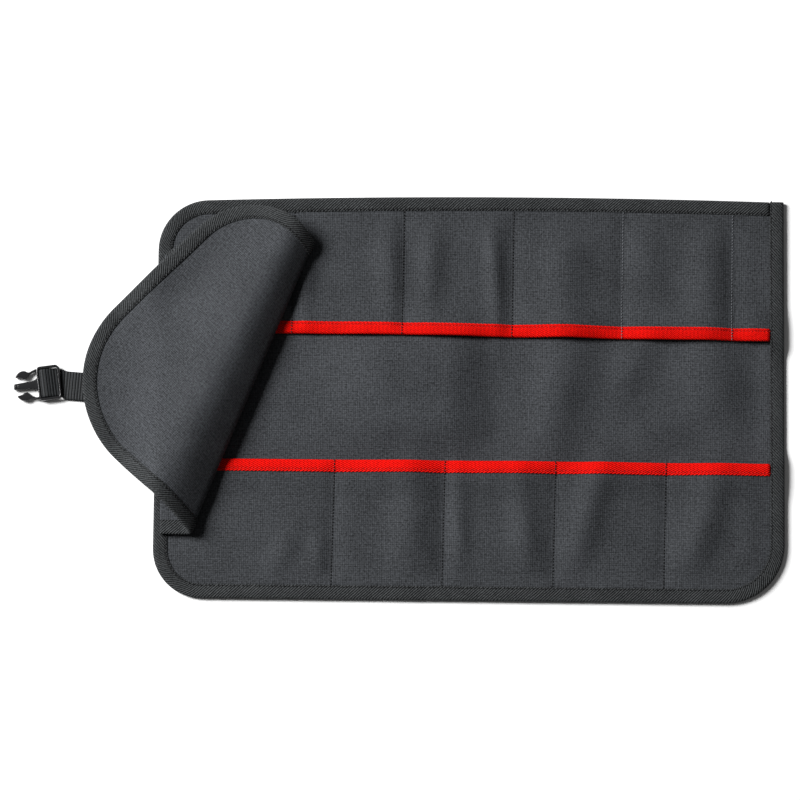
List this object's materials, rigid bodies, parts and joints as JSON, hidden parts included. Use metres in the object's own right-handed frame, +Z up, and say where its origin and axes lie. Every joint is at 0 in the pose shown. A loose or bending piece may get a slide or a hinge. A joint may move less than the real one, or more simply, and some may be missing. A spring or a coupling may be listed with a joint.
{
  "type": "tool roll",
  "caption": "Tool roll of dark grey coated cloth laid open: two rows of flat pockets with red-taped mouths, a black bound edge, a folded flap and a webbing strap with a side-release plug",
  "frame": {"origin": "on the surface that the open roll lies on, under the middle of its whole box", "axes": "+X runs along the roll from the buckle to the square corner, +Y towards the upper row of pockets, +Z up off the surface"},
  "size_m": [0.6722, 0.3555, 0.0362],
  "materials": {
    "coated_cloth": "plain weave, slight sheen",
    "black_tape": "twill tape, matte",
    "red_tape": "twill tape, matte",
    "black_webbing": "ribbed webbing, matte",
    "black_plastic": "moulded, semi-gloss"
  },
  "bodies": {
    "root": {"back_panel": "coated_cloth", "pocket_row_upper": "coated_cloth", "pocket_row_lower": "coated_cloth", "mouth_tape_upper": "red_tape", "mouth_tape_lower": "red_tape", "edge_tape": "black_tape", "flap": "coated_cloth", "flap_tape": "black_tape", "strap": "black_webbing", "buckle_plug": "black_plastic", "buckle_socket": "black_plastic", "socket_tab": "black_webbing"}
  },
  "joints": []
}
